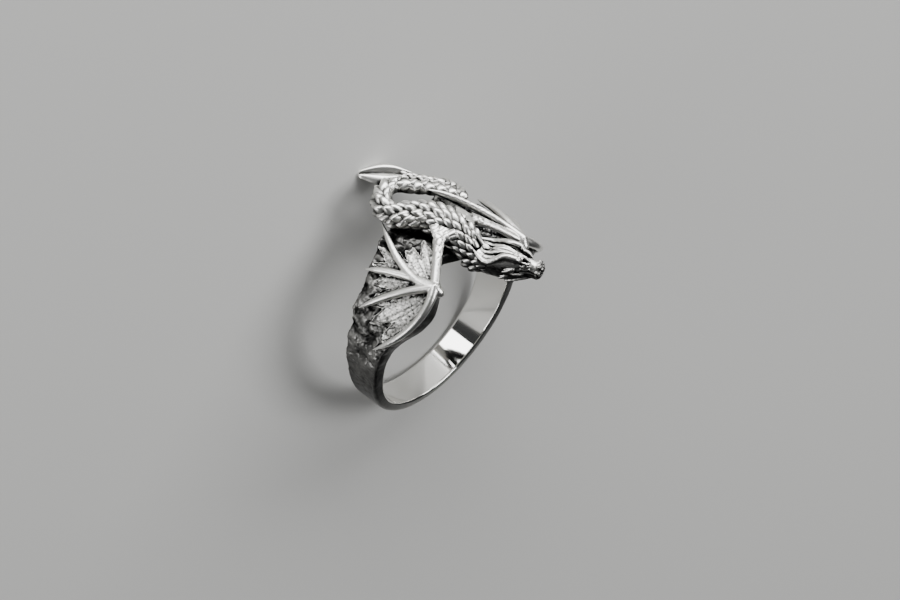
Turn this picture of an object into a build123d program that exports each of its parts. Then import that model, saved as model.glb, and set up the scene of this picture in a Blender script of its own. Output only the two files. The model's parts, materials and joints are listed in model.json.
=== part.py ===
from build123d import *
import math
import os

import numpy as np

# Dragon ring, cast in one piece of silver. It is drawn round its finger axis first:
# x runs along the finger towards the dragon's head, z up through the crown of the ring, y to its right wing.
# A turn is an angle round the finger from the crown, positive towards the left wing.

# Shank and shoulders
finger_d = 19.0
shank_w = 3.4
shank_wall = 1.0
shoulder_wall = 2.0
near_flare = 2.4
far_flare = 4.0
edge_round = 0.35
rock_relief = 0.15

# Dragon's body, neck and tail
dragon_reach = 20.0
neck_lift = 2.5
body_d = 2.6
scale_len = 1.4
scale_relief = 0.28
scales_round = 7
crest_height = 0.35

# Head
head_len = 6.9
head_w = 3.4
head_h = 3.6
head_swing = 27.0
horn_d = 0.65
spike_d = 0.55

# Leaf at the end of the tail
leaf_len = 5.0
leaf_w = 2.7
leaf_t = 1.5
leaf_swing = 48.0

# Wings
bone_d = 0.85
arm_d = 1.0
web_drop = 0.1
wing_lift = 2.6
claw_len = 1.4
arm_root_turn = 60.0
left_wrist_x = 2.9
left_wrist_turn = 29.5
right_wrist_x = 3.9
right_wrist_turn = 33.0
wing_reach = 8.8

bore_r = finger_d / 2
half_shank = shank_w / 2

# Shoulder sections, from the crown down: turn, then near and far flare and extra wall as shares of the full ones
shoulder_rows = [
    # turn, near, far, wall
    (0, 0.00, 0.90, 0.45),
    (7, -0.22, 0.92, 0.50),
    (13, -0.48, 0.95, 0.62),
    (18, -0.22, 0.98, 0.75),
    (23, 0.22, 1.00, 0.85),
    (30, 0.60, 0.90, 0.95),
    (37, 0.85, 0.76, 1.00),
    (43, 0.95, 0.66, 1.00),
    (53, 0.80, 0.55, 1.00),
    (64, 0.36, 0.42, 0.90),
    (73, 0.10, 0.34, 0.78),
    (84, 0.00, 0.26, 0.62),
    (97, 0.00, 0.14, 0.42),
    (115, 0.00, 0.04, 0.20),
    (140, 0.00, 0.00, 0.05),
    (180, 0.00, 0.00, 0.00),
]

# Body line from the tail's end to the nape: along the finger as a share of the dragon's reach, turn,
# lift over the bore as a share of the neck's, thickness as a share of the body's, crest as a share of its height
body_rows = [
    # along, turn, lift, girth, crest
    (-0.406, -8.2, 1.32, 0.34, 0.0),
    (-0.346, -13.3, 1.28, 0.40, 0.0),
    (-0.284, -19.1, 1.28, 0.44, 0.0),
    (-0.213, -22.2, 1.33, 0.48, 0.3),
    (-0.155, -18.1, 1.40, 0.51, 0.7),
    (-0.223, -12.4, 1.45, 0.54, 0.9),
    (-0.322, -5.1, 1.36, 0.58, 1.0),
    (-0.395, 2.2, 1.32, 0.65, 1.0),
    (-0.388, 9.2, 1.40, 0.76, 1.0),
    (-0.325, 14.0, 1.42, 0.86, 1.0),
    (-0.253, 12.8, 1.36, 0.96, 0.6),
    (-0.190, 6.4, 1.22, 1.08, 0.0),
    (-0.130, 1.5, 1.10, 1.20, 0.0),
    (-0.040, -1.2, 0.98, 1.36, 0.0),
    (0.075, -1.2, 0.88, 1.50, 0.0),
    (0.150, -2.0, 0.84, 1.42, 0.0),
]

# The row of the body where both wings' arms leave it
arm_root_row = body_rows[-4]

# Head sections, from the nape to the snout: along as a share of the head's length,
# the rest as shares of its width and height
head_rows = [
    # along, wide, top, cheek, bottom
    (-0.16, 0.40, 0.40, 0.40, 0.42),
    (0.00, 0.48, 0.46, 0.48, 0.50),
    (0.16, 0.46, 0.40, 0.50, 0.52),
    (0.34, 0.48, 0.38, 0.50, 0.52),
    (0.50, 0.40, 0.40, 0.44, 0.50),
    (0.62, 0.33, 0.33, 0.36, 0.46),
    (0.74, 0.25, 0.20, 0.28, 0.38),
    (0.86, 0.22, 0.16, 0.24, 0.32),
    (0.94, 0.26, 0.22, 0.25, 0.28),
    (1.00, 0.15, 0.12, 0.14, 0.16),
]

# Leaf sections, from its stalk to its point: along, width and thickness as shares of the full ones
leaf_rows = [
    # along, wide, thick
    (-0.10, 0.25, 0.45),
    (0.06, 0.55, 0.70),
    (0.26, 0.90, 0.95),
    (0.46, 1.00, 1.00),
    (0.66, 0.82, 0.90),
    (0.84, 0.48, 0.62),
    (1.00, 0.10, 0.20),
]

# Fingers of a wing: the tip's turn, how far behind the wrist as a share of the wing's reach,
# the tip's lift as a share of the wrist's, and how far the bone bows aside, as shares of a quarter turn
# and of its own length. Each wing has its own first finger, the one next to the dragon's body
left_first_finger = (21.5, -0.98, 0.90, 0.05, -0.08)
right_first_finger = (5.7, -1.025, 1.48, 0.02, 0.03)
finger_rows = [
    # turn, along, lift, bow_turn, bow_along
    (42.0, -0.81, 0.93, -0.02, 0.02),
    (59.0, -0.62, 0.92, -0.03, -0.02),
    (73.5, -0.25, 0.78, -0.02, -0.75),
]

# Torn outer edge of the web, as shares of the bones' length: a row for each gap between two bones
web_rows = [
    (0.55, 0.80, 0.62, 0.76, 0.60, 0.92),
    (0.92, 0.74, 0.92, 0.80, 0.90, 0.94),
    (0.94, 0.78, 0.88, 0.72, 0.84, 0.94),
    (0.94, 0.80, 0.92, 0.76, 0.90, 0.94),
]


def around(x, turn, r):
    a = math.radians(turn)
    return np.array([x, -r * math.sin(a), r * math.cos(a)])


def unit(v):
    return v / np.linalg.norm(v)


def faceted(points, triangles):
    faces = [Face(Wire.make_polygon([tuple(points[i]) for i in t])) for t in triangles]
    return Solid(Shell(faces))


def evened(rows, count):
    # A smooth line through the rows, cut in equal steps of its first three columns' path
    rows = np.array(rows, dtype=float)
    ends = np.vstack([2 * rows[0] - rows[1], rows, 2 * rows[-1] - rows[-2]])
    fine = []
    for a, b, c, d in zip(ends, ends[1:], ends[2:], ends[3:]):
        for t in np.linspace(0, 1, 12, endpoint=False):
            fine.append(0.5 * (2 * b + (c - a) * t + (2 * a - 5 * b + 4 * c - d) * t**2
                               + (3 * b - a - 3 * c + d) * t**3))
    fine.append(rows[-1])
    fine = np.array(fine)
    steps = np.linalg.norm(np.diff(fine[:, :3], axis=0), axis=1)
    reach = np.concatenate([[0], np.cumsum(steps)])
    marks = np.linspace(0, reach[-1], count)
    return np.array([[np.interp(m, reach, column) for column in fine.T] for m in marks])


def tube(sections):
    # Closed skin over rings of points, with a fan at each end
    count = len(sections[0])
    points = [p for ring in sections for p in ring]
    first = len(points)
    points += [np.mean(sections[0], axis=0), np.mean(sections[-1], axis=0)]
    triangles = []
    for k in range(len(sections) - 1):
        for j in range(count):
            a, b = k * count + j, k * count + (j + 1) % count
            triangles += [(a, b, b + count), (a, b + count, a + count)]
    last = (len(sections) - 1) * count
    for j in range(count):
        triangles.append(((j + 1) % count, j, first))
        triangles.append((last + j, last + (j + 1) % count, first + 1))
    return faceted(points, triangles)


def bone(line, widths, sides=5, flat=1.0):
    # A bone, horn or claw: sides stand round a line of points, flat squeezes it towards the ring
    line = [np.array(p, dtype=float) for p in line]
    sections = []
    for k, centre in enumerate(line):
        ahead = unit(line[min(k + 1, len(line) - 1)] - line[max(k - 1, 0)])
        out = np.array([0.0, centre[1], centre[2]])
        side = unit(np.cross(ahead, out))
        up = np.cross(side, ahead)
        angles = [2 * math.pi * j / sides for j in range(sides)]
        sections.append([centre + widths[k] / 2 * (math.cos(a) * side + flat * math.sin(a) * up) for a in angles])
    return tube(sections)


def shank():
    turns = np.arange(0, 360, 6.0)
    rows = np.array(shoulder_rows)
    inner = bore_r - shank_wall / 2
    sections = []
    for turn in turns:
        fall = min(turn, 360 - turn)
        near, far, extra = (np.interp(fall, rows[:, 0], rows[:, c]) for c in (1, 2, 3))
        x_near = half_shank + near_flare * near
        x_far = -half_shank - far_flare * far
        r = bore_r + shank_wall + (shoulder_wall - shank_wall) * extra
        across = np.linspace(x_far + edge_round, x_near - edge_round, 6)
        ring = [around(x_near, turn, inner), around(x_near, turn, r - edge_round)]
        for k, x in enumerate(across[::-1]):
            rough = rock_relief * extra * math.sin(2.3 * turn + 1.9 * k) * math.cos(0.9 * turn - 2.7 * k)
            ring.append(around(x, turn, r + rough))
        ring += [around(x_far, turn, r - edge_round), around(x_far, turn, inner)]
        sections.append(ring)
    count = len(sections[0])
    points = [p for ring in sections for p in ring]
    triangles = []
    for k in range(len(sections)):
        for j in range(count):
            a, b = k * count + j, k * count + (j + 1) % count
            c, d = ((k + 1) % len(sections)) * count + j, ((k + 1) % len(sections)) * count + (j + 1) % count
            triangles += [(a, b, d), (a, d, c)]
    return faceted(points, triangles)


def body_point(along, turn, lift, girth, crest):
    return [*around(along * dragon_reach, turn, bore_r + neck_lift * lift), girth * body_d / 2, crest]


def body_line():
    return [body_point(*row) for row in body_rows]


def body():
    # Staggered rings of points carry the scales, each a low pyramid that leans towards the tail
    length = sum(np.linalg.norm(np.subtract(a[:3], b[:3])) for a, b in zip(body_line(), body_line()[1:]))
    rings = 2 * round(length / scale_len)
    line = evened(body_line(), 2 * rings + 1)

    def skin(step, place, rise):
        k = min(max(step, 0), len(line) - 1)
        ahead = unit(line[min(k + 1, len(line) - 1), :3] - line[max(k - 1, 0), :3])
        centre, r, crest = line[k, :3], line[k, 3], line[k, 4]
        side = unit(np.cross(ahead, np.array([0.0, centre[1], centre[2]])))
        up = np.cross(side, ahead)
        a = 2 * math.pi * place / scales_round
        rise *= r / (body_d / 2) * (1 + crest * crest_height / scale_relief * (place == 0))
        return centre + (r + rise) * (math.cos(a) * side + math.sin(a) * up)

    points, triangles = [], []
    for k in range(rings + 1):
        points += [skin(2 * k, j + 0.5 * (k % 2), 0) for j in range(scales_round)]

    def at(k, j):
        return k * scales_round + j % scales_round

    for k in range(rings - 1):
        shift = k % 2
        for j in range(scales_round):
            points.append(skin(2 * k + 1, j + 0.5 * shift, scale_relief))
            tip = len(points) - 1
            back, left, right, front = at(k, j), at(k + 1, j - 1 + shift), at(k + 1, j + shift), at(k + 2, j)
            triangles += [(back, left, tip), (left, front, tip), (front, right, tip), (right, back, tip)]
    points += [line[0, :3], line[-1, :3]]
    for j in range(scales_round):
        shift = rings % 2
        triangles.append((at(0, j), at(0, j + 1), at(1, j)))
        triangles.append((at(rings, j), at(rings - 1, j + shift), at(rings, j + 1)))
        triangles.append((at(0, j + 1), at(0, j), len(points) - 2))
        triangles.append((at(rings, j), at(rings, j + 1), len(points) - 1))
    return faceted(points, triangles)


def head_frame():
    nape = np.array(body_line()[-1][:3])
    swing = math.radians(head_swing)
    ahead = np.array([math.cos(swing), math.sin(swing), 0.0])
    left = np.array([math.sin(swing), -math.cos(swing), 0.0])
    return nape, ahead, left, np.array([0.0, 0.0, 1.0])


def on_head(along, across, up):
    nape, ahead, left, rise = head_frame()
    return nape + along * head_len * ahead + across * head_w * left + up * head_h * rise


def head():
    sections = []
    for along, wide, top, cheek, bottom in head_rows:
        half = [(0.0, top), (0.45 * wide, top * 1.08), (0.85 * wide, top * 0.45), (cheek, -0.04),
                (0.8 * cheek, -0.35 * bottom), (0.85 * cheek, -0.62 * bottom), (0.4 * cheek, -bottom)]
        ring = [on_head(along, y, z) for y, z in half]
        ring += [on_head(along, -y, z) for y, z in [(0.0, -bottom * 1.02)] + half[:0:-1]]
        sections.append(ring)
    return tube(sections)


def horns():
    made = []
    for side in (1, -1):
        # Brow ridge that sweeps back along the skull and turns up at its end
        ridge = [on_head(0.70, side * 0.23, 0.28), on_head(0.63, side * 0.23, 0.43), on_head(0.46, side * 0.27, 0.48),
                 on_head(0.25, side * 0.40, 0.30), on_head(0.14, side * 0.43, 0.24), on_head(0.04, side * 0.33, 0.32),
                 on_head(-0.06, side * 0.22, 0.44)]
        made.append(bone(ridge, [s * horn_d for s in (0.7, 1.0, 1.0, 0.9, 0.8, 0.5, 0.1)]))
        for along, drop, reach in ((0.16, -0.30, 0.52), (0.34, -0.38, 0.50), (0.50, -0.38, 0.44)):
            barb = [on_head(along + 0.05, side * 0.16, drop), on_head(along, side * reach * 0.7, drop - 0.03),
                    on_head(along - 0.10, side * reach, drop - 0.09)]
            made.append(bone(barb, [s * spike_d for s in (1.0, 0.7, 0.1)]))
        nostril = [on_head(0.90, side * 0.12, 0.10), on_head(0.94, side * 0.16, 0.24), on_head(0.99, side * 0.15, 0.26)]
        made.append(bone(nostril, [s * spike_d for s in (1.0, 0.9, 0.3)]))
    crown = [on_head(0.10, 0, 0.30), on_head(-0.02, 0, 0.56), on_head(-0.16, 0, 0.70)]
    made.append(bone(crown, [s * spike_d for s in (1.2, 0.8, 0.1)]))
    return made


def leaf():
    stalk = np.array(body_line()[0][:3])
    swing = math.radians(leaf_swing)
    ahead = np.array([-math.cos(swing), -math.sin(swing), 0.0])
    far = np.array([-math.sin(swing), math.cos(swing), 0.0])
    up = np.array([0.0, 0.0, 1.0])
    outline = [(-0.50, -0.16), (-0.20, 0.30), (0.0, 0.12), (0.22, 0.50), (0.50, 0.06), (0.05, -0.50)]
    sections = []
    for along, wide, thick in leaf_rows:
        centre = stalk + along * leaf_len * ahead
        sections.append([centre + y * wide * leaf_w * far + z * thick * leaf_t * up for y, z in outline])
    return tube(sections)


def wing(side, wrist_x, wrist_turn, first_finger):
    # Arm, fingers and claw over one torn web; side is 1 for the left wing. Each bone starts a little behind
    # the wrist, by its own amount, so that they meet in one knuckle
    wrist_r = bore_r + wing_lift
    wrist = around(wrist_x, side * wrist_turn, wrist_r)
    x, y, z, body_r, _ = body_point(*arm_root_row)
    shoulder = np.array([x, y, z]) + around(arm_d / 2, side * arm_root_turn, 0.6 * body_r)
    middle = 0.5 * (shoulder + wrist)
    middle += 0.4 * arm_d * unit(np.array([0.0, middle[1], middle[2]]))
    lines = [[wrist + (shoulder - wrist) * t for t in np.linspace(0, 1, 5)]]
    arm = [shoulder, middle, wrist + 0.07 * (wrist - middle)]
    made = [bone(arm, [1.4 * arm_d, 0.9 * arm_d, 1.1 * arm_d], sides=6)]
    for number, (turn, along, lift, bow_turn, bow_along) in enumerate([first_finger, *finger_rows]):
        line = []
        for t in np.linspace(-0.015 * (number + 1), 1, 5):
            sag = 4 * t * (1 - t)
            x = wrist_x + along * wing_reach * (t + sag * bow_along)
            angle = wrist_turn + (turn - wrist_turn) * t + sag * bow_turn * 90
            line.append(around(x, side * angle, bore_r + wing_lift * (1 + (lift - 1) * t)))
        lines.append(line)
        made.append(bone(line, [bone_d * share for share in (1.15, 1.0, 0.85, 0.62, 0.12)]))
    claw_end = around(wrist_x + 0.75 * claw_len, side * wrist_turn, wrist_r - 0.65 * claw_len)
    claw = [wrist + (claw_end - wrist) * t + around(bow * claw_len, 0, 0) for t, bow in ((-0.13, 0), (0.5, 0.15), (1, 0))]
    made.append(bone(claw, [1.1 * bone_d, 0.8 * bone_d, 0.1 * bone_d]))
    made.append(web(lines))
    return made


def web(lines):
    # Skin stretched from bone to bone, its outer edge torn, its underside sunk in the shoulder
    cuts = 4
    marks = np.linspace(0, 1, len(lines[0]))
    columns = []
    for gap, (first, second) in enumerate(zip(lines, lines[1:])):
        for j, share in enumerate(web_rows[gap]):
            if j == len(web_rows[gap]) - 1 and gap < len(lines) - 2:
                continue
            across = j / (len(web_rows[gap]) - 1)
            column = []
            for t in np.linspace(0.06, share, cuts + 1):
                ends = [np.array([np.interp(t, marks, np.array(line)[:, c]) for c in range(3)])
                        for line in (first, second)]
                column.append(ends[0] + (ends[1] - ends[0]) * across)
            columns.append(column)
    sunk = bore_r + 0.4 * shoulder_wall
    points = []
    for under in (False, True):
        for column in columns:
            for x, y, z in column:
                r = math.hypot(y, z)
                level = sunk if under else r - web_drop
                points.append(np.array([x, y * level / r, z * level / r]))
    height, half = cuts + 1, len(points) // 2
    triangles = []
    for j in range(len(columns) - 1):
        for k in range(cuts):
            a, c = j * height + k, (j + 1) * height + k
            b, d = a + 1, c + 1
            triangles += [(a, b, d), (a, d, c), (a + half, d + half, b + half), (a + half, c + half, d + half)]
    last = (len(columns) - 1) * height
    border = [j * height for j in range(len(columns))]
    border += [last + k for k in range(1, height)]
    border += [j * height + cuts for j in range(len(columns) - 2, -1, -1)]
    border += list(range(cuts - 1, 0, -1))
    for a, b in zip(border, border[1:] + border[:1]):
        triangles += [(a, b, b + half), (a, b + half, a + half)]
    return faceted(points, triangles)


def wings():
    left = wing(1, left_wrist_x, left_wrist_turn, left_first_finger)
    right = wing(-1, right_wrist_x, right_wrist_turn, right_first_finger)
    return left, right


def settled(points, centre):
    # The way up once the ring lies on its far side: it tips over its lowest point, then over each edge in turn,
    # until the point under its centre of mass lies between three points that touch
    points = np.array(points) - np.array(centre)
    down = np.array([-1.0, 0.0, -0.3])
    touching = [points[np.argmax(points @ down)]]
    for _ in range(12):
        pivot = touching[-1]
        level = -(pivot - (pivot @ down) * down / (down @ down))
        if len(touching) > 1:
            edge = unit(touching[-1] - touching[-2])
            level = level - (level @ edge) * edge
        if np.linalg.norm(level) < 1e-6:
            break
        ahead, up = unit(level), -unit(down)
        rel = points - pivot
        reach, height = rel @ ahead, rel @ up
        angles = np.where(reach > 1e-4, np.arctan2(np.maximum(height, 0), np.maximum(reach, 1e-9)), 9.0)
        nearest = int(np.argmin(angles))
        turn = angles[nearest]
        down = unit(-(up * math.cos(turn) - ahead * math.sin(turn)))
        touching = touching[-1:] + [points[nearest]]
    return -down


left_wing, right_wing = wings()
ring = shank().fuse(body(), head(), leaf(), *horns(), *left_wing, *right_wing)
ring -= Rot(0, 90, 0) * Cylinder(bore_r, 4 * dragon_reach)
ring = max(ring.solids(), key=lambda solid: solid.volume)

# Laid down as it rests, crown towards the front, its box centred over the origin
rise = settled([tuple(v) for v in ring.vertices()], tuple(ring.center(CenterOf.MASS)))
front = unit(np.array([0.0, 0.0, 1.0]) - rise[2] * rise)
lying = Plane(origin=(0, 0, 0), x_dir=tuple(np.cross(-front, rise)), z_dir=tuple(rise))
ring = lying.location.inverse() * ring
box = ring.bounding_box()
ring = Pos(-(box.min.X + box.max.X) / 2, -(box.min.Y + box.max.Y) / 2, -box.min.Z) * ring

os.makedirs("parts", exist_ok=True)
export_step(ring, "parts/dragon_ring.step")
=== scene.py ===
import bpy
import json
import math
import numpy as np
from mathutils import Matrix, Vector, noise
from mathutils.bvhtree import BVHTree


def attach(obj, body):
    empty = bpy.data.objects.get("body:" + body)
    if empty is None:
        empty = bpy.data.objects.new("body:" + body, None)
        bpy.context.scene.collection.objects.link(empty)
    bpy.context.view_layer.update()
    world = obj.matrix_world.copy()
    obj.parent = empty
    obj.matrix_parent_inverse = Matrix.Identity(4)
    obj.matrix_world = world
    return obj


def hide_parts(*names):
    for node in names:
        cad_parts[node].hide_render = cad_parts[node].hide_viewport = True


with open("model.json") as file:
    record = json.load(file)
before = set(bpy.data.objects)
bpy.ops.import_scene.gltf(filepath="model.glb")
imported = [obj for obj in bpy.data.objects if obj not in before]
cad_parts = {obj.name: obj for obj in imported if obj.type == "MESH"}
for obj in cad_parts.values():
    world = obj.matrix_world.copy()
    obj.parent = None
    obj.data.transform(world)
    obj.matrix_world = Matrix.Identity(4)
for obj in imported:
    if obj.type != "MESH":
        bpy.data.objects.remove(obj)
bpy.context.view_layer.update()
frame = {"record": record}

noise.seed_set(5)  # noise_vector starts from this, so the rock breaks the same way each time
print("dragon ring: frame loaded")

# The finger hole says where the ring lies: x along the finger towards the dragon's head, y to its right wing,
# z out through the crown, in mm from the middle of the band. Pieces are drawn so and placed at the end.
fingerHole = next(m for m in frame["record"]["mounts"] if m["name"] == "finger_bore")
fingerWay = Vector(fingerHole["axis"]).normalized()
crownWay = Vector((0, -fingerWay.z, fingerWay.y)).normalized()
turned = Matrix((fingerWay, crownWay.cross(fingerWay), crownWay)).transposed().to_4x4()
ringMatrix = Matrix.Translation(Vector(fingerHole["pos_m"])) @ turned @ Matrix.Scale(0.001, 4)
boreRadius = fingerHole["dims"]["r_mm"]


def around(x, turn, r):
    # a point beside the finger: its place along it, its turn from the crown towards the left wing, its radius
    a = math.radians(turn)
    return np.array([x, -r * math.sin(a), r * math.cos(a)])


def unit(v):
    return v / np.maximum(np.linalg.norm(v, axis=-1, keepdims=True), 1e-9)


def outwards(points):
    # the way straight out from the finger's axis at each point
    return unit(points * np.array([0, 1, 1]))


def bell(value, middle, width):
    # 1 at the middle, falling to nothing about two widths away
    return np.exp(-((value - middle) / width) ** 2)


def smoothRows(rows, count):
    # a smooth line through given rows, cut in even steps along its first three columns
    rows = np.array(rows, dtype=float)
    ends = np.vstack([2 * rows[0] - rows[1], rows, 2 * rows[-1] - rows[-2]])
    fine = []
    for a, b, c, d in zip(ends, ends[1:], ends[2:], ends[3:]):
        for t in np.linspace(0, 1, 16, endpoint=False):
            fine.append(0.5 * (2 * b + (c - a) * t + (2 * a - 5 * b + 4 * c - d) * t**2
                               + (3 * b - a - 3 * c + d) * t**3))
    fine = np.array(fine + [rows[-1]])
    steps = np.linalg.norm(np.diff(fine[:, :3], axis=0), axis=1)
    reach = np.concatenate([[0], np.cumsum(steps)])
    return np.array([np.interp(np.linspace(0, reach[-1], count), reach, column) for column in fine.T]).T


def grain(points, size, octaves=3):
    # cloudy noise at each point, about -1 to 1, its lumps as large as size in mm
    weaker, finer = 0.8, 2.1  # from each octave to the next
    return np.array([noise.fractal(Vector(p) / size, weaker, finer, octaves) for p in points])


def cracks(points, size):
    # a broken pattern with cells of this size in mm: 0 in a crack, 1 in a cell's middle
    narrow = 1.6  # the higher, the narrower the cracks
    gaps = []
    for p in points:
        near = noise.voronoi(Vector(p) / size)[0]
        gaps.append(near[1] - near[0])
    return np.sqrt(np.clip(np.array(gaps) * narrow, 0, 1))


def closeRings(points, sides, ends):
    # skins rings of points one after another and closes both ends with a fan
    count = len(points) // sides
    faces = []
    for k in range(count - 1):
        for j in range(sides):
            a, b = k * sides + j, k * sides + (j + 1) % sides
            faces.append((a, b, b + sides, a + sides))
    first, last = len(points), (count - 1) * sides
    points = list(points) + list(ends)
    for j in range(sides):
        faces.append(((j + 1) % sides, j, first))
        faces.append((last + j, last + (j + 1) % sides, first + 1))
    return points, faces


def roundBar(line, widths, sides=16, flat=1.0, steps=28):
    # a round bar along a line of points, with a width at each, pressed flat where flat is under 1
    rows = smoothRows(np.column_stack([line, widths]), steps)
    centres, r = rows[:, :3], np.maximum(rows[:, 3], 0.02) / 2  # never under 0.02 mm wide
    ahead = unit(np.gradient(centres, axis=0))
    side = np.cross(ahead[0], np.array([0.0, centres[0][1], centres[0][2]]))
    points = []
    for k in range(steps):
        side = unit(side - np.dot(side, ahead[k]) * ahead[k])
        up = np.cross(side, ahead[k])
        for a in np.linspace(0, 2 * math.pi, sides, endpoint=False):
            points.append(centres[k] + r[k] * (math.cos(a) * side + flat * math.sin(a) * up))
    return closeRings(points, sides, [centres[0], centres[-1]])


def ball(centre, r, squash=(1, 1, 1)):
    rings, sides = 10, 16
    points = []
    for k in range(1, rings):
        b = math.pi * k / rings
        for j in range(sides):
            a = 2 * math.pi * j / sides
            turn = np.array([math.cos(b), math.sin(b) * math.cos(a), math.sin(b) * math.sin(a)])
            points.append(np.array(centre) + r * turn * np.array(squash))
    ends = [np.array(centre) + np.array([s * r * squash[0], 0, 0]) for s in (1, -1)]
    return closeRings(points, sides, ends)


def joined(parts):
    points, faces = [], []
    for partPoints, partFaces in parts:
        start = len(points)
        points += list(partPoints)
        faces += [tuple(i + start for i in f) for f in partFaces]
    return points, faces


def addPiece(name, points, faces):
    mesh = bpy.data.meshes.new(name)
    mesh.from_pydata([tuple(p) for p in points], [], faces)
    mesh.shade_smooth()
    piece = bpy.data.objects.new(name, mesh)
    bpy.context.collection.objects.link(piece)
    return piece


def applied(piece):
    # the piece with its modifiers worked into a plain mesh
    bpy.context.view_layer.update()
    mesh = bpy.data.meshes.new_from_object(piece.evaluated_get(bpy.context.evaluated_depsgraph_get()))
    piece.modifiers.clear()
    piece.data = mesh
    mesh.shade_smooth()
    return piece


def castTogether(name, parts, voxel, rounds):
    # melts overlapping parts into one skin, as a casting has it
    piece = addPiece(name, *joined(parts))
    melt = piece.modifiers.new("melt", "REMESH")
    melt.mode = "VOXEL"
    melt.voxel_size = voxel * 1.0
    soften = piece.modifiers.new("soften", "SMOOTH")
    soften.factor, soften.iterations = 0.5, rounds
    return applied(piece)


def pointsOf(piece):
    values = np.empty(len(piece.data.vertices) * 3)
    piece.data.vertices.foreach_get("co", values)
    return values.reshape(-1, 3)


def normalsOf(piece):
    values = np.empty(len(piece.data.vertices) * 3)
    piece.data.vertex_normals.foreach_get("vector", values)
    return values.reshape(-1, 3)


def pushOut(piece, amount):
    # moves each point along its own normal by its amount in mm
    moved = pointsOf(piece) + normalsOf(piece) * np.asarray(amount)[:, None]
    piece.data.vertices.foreach_set("co", moved.ravel())
    piece.data.update()


def noteValues(mesh, name, values, kind="FLOAT"):
    # keeps a value or a vector for each point of the mesh
    field = "value" if kind == "FLOAT" else "vector"
    mesh.attributes.new(name, kind, "POINT").data.foreach_set(field, np.array(values, dtype=float).ravel())


def addNode(tree, kind, feeds=None, **settings):
    # adds a node, sets it up and feeds its inputs from another node, one socket of it or a plain value
    node = tree.nodes.new(kind)
    for name, value in settings.items():
        setattr(node, name, value)
    for name, source in (feeds or {}).items():
        if isinstance(source, bpy.types.Node):
            source = source.outputs[0]
        if isinstance(source, bpy.types.NodeSocket):
            tree.links.new(source, node.inputs[name])
        else:
            node.inputs[name].default_value = source
    return node


def linear(hexColour):
    parts = [int(hexColour[i:i + 2], 16) / 255 for i in (1, 3, 5)]
    return tuple(p / 12.92 if p <= 0.04045 else ((p + 0.055) / 1.055) ** 2.4 for p in parts) + (1.0,)


def newMaterial(name):
    material = bpy.data.materials.new(name)
    material.use_nodes = True
    return material, material.node_tree, material.node_tree.nodes["Principled BSDF"]


# Cast sterling silver, blackened and then wheeled: soft bright high points over near-black recesses
castLook = {
    "bright": "#f2f1ed", "black": "#09090a", "roughBright": 0.30, "roughBlack": 0.38,
    "grainMm": 0.12, "cloudMm": 0.5, "cloud": 0.16, "stipple": 0.0, "pit": 0.2, "pitMm": 0.02,
}
# The webs are stippled with a fine point, which gives them a dusting of dark dots. The real dots are under
# 0.1 mm, too fine to show in the render, so they are drawn 0.24 mm apart.
webFinish = {**castLook, "grainMm": 0.24, "cloud": 0.25, "stipple": 2.0}


def makeCastSilver(name, look):
    material, tree, shader = newMaterial(name)
    # this blackness is the oxide in the recesses, together with painted shade on faces turned from the crown
    oxideAndShade = addNode(tree, "ShaderNodeAttribute", attribute_name="oxideAndShade").outputs["Fac"]
    place = addNode(tree, "ShaderNodeTexCoord").outputs["Object"]
    cloud = addNode(tree, "ShaderNodeTexNoise",
                    {"Vector": place, "Scale": 1000 / look["cloudMm"], "Detail": 3.0})
    pits = addNode(tree, "ShaderNodeTexNoise",
                   {"Vector": place, "Scale": 1000 / look["grainMm"], "Detail": 4.0})
    blackness = oxideAndShade
    for pattern, amount in ((cloud, look["cloud"]), (pits, look["stipple"])):
        uneven = addNode(tree, "ShaderNodeMath", {0: pattern, 1: amount, 2: -0.5 * amount},
                         operation="MULTIPLY_ADD")
        blackness = addNode(tree, "ShaderNodeMath", {0: blackness, 1: uneven}, operation="ADD")
    blackness.use_clamp = True
    # the node's own names for its inputs repeat, so 6 and 7 stand for its two colours
    tones = {"Factor": blackness, 6: linear(look["bright"]), 7: linear(look["black"])}
    tone = addNode(tree, "ShaderNodeMix", tones, data_type="RGBA")
    rough = addNode(tree, "ShaderNodeMapRange",
                    {"Value": blackness, "To Min": look["roughBright"], "To Max": look["roughBlack"]})
    bump = addNode(tree, "ShaderNodeBump",
                   {"Height": pits, "Strength": look["pit"], "Distance": look["pitMm"] / 1000})
    tree.links.new(tone.outputs[2], shader.inputs["Base Color"])
    tree.links.new(rough.outputs[0], shader.inputs["Roughness"])
    tree.links.new(bump.outputs[0], shader.inputs["Normal"])
    shader.inputs["Metallic"].default_value = 1.0
    return material


# The same silver with a mirror polish, on the finger side of the band: it shows the studio in clean edges
polishLook = {"colour": "#f2f1ed", "rough": 0.05}


def makePolishedSilver():
    material, _, shader = newMaterial("polishedSilver")
    shader.inputs["Base Color"].default_value = linear(polishLook["colour"])
    shader.inputs["Metallic"].default_value = 1.0
    shader.inputs["Roughness"].default_value = polishLook["rough"]
    return material


silver = makeCastSilver("castSilver", castLook)
mirrorSilver = makePolishedSilver()
webSilver = makeCastSilver("stippledSilver", webFinish)
print("dragon ring: silver finishes")

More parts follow.
